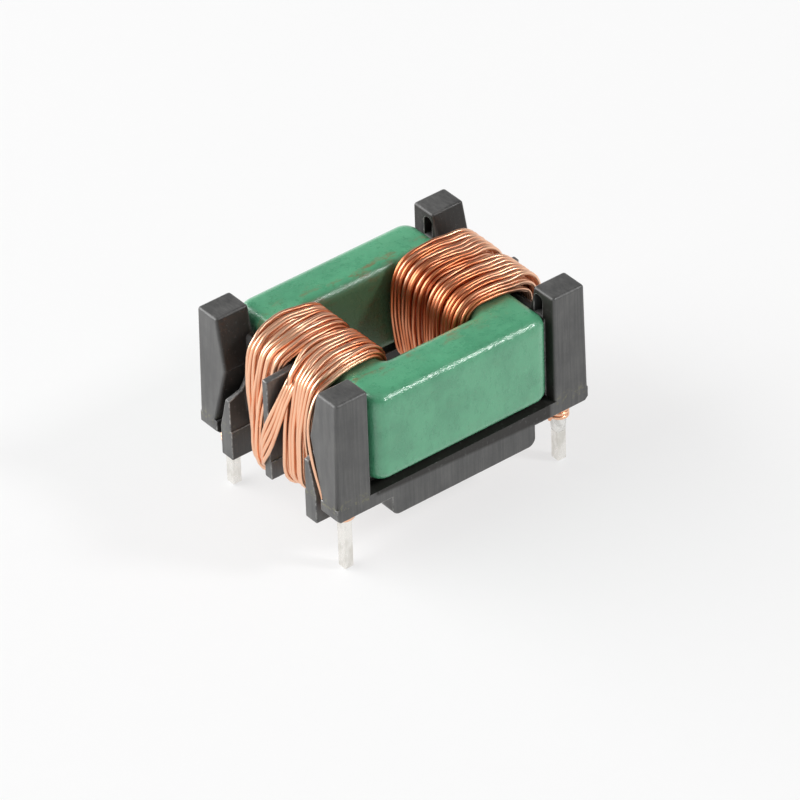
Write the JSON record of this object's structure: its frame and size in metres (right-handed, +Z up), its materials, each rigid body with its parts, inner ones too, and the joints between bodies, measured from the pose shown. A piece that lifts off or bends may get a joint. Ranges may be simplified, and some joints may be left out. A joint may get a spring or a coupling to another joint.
{
  "type": "common mode choke",
  "caption": "Through-hole common mode choke: a coated rectangular ring core in a dark moulded base, with a copper winding in two sections on each short leg and square pins below.",
  "frame": {"origin": "on the board seat, the plane of the stand-off rails' feet, at the centre of the four pins", "axes": "+Z up, away from the board; +X along the long side of the base, from one winding to the other"},
  "size_m": [0.0182, 0.0126, 0.0118],
  "materials": {
    "base_plastic": "satin black moulding",
    "core_coating": "semi-gloss green coating on ferrite",
    "copper_wire": "glossy enamelled copper",
    "tinned_pin": "bright tin plate",
    "solder": "bright solder"
  },
  "bodies": {
    "root": {"base": "base_plastic", "core": "core_coating", "winding_left": "copper_wire", "winding_right": "copper_wire", "pin_front": "tinned_pin", "pin_right": "tinned_pin", "pin_back": "tinned_pin", "pin_left": "tinned_pin", "solder_front": "solder", "solder_right": "solder", "solder_back": "solder", "solder_left": "solder"}
  },
  "joints": []
}
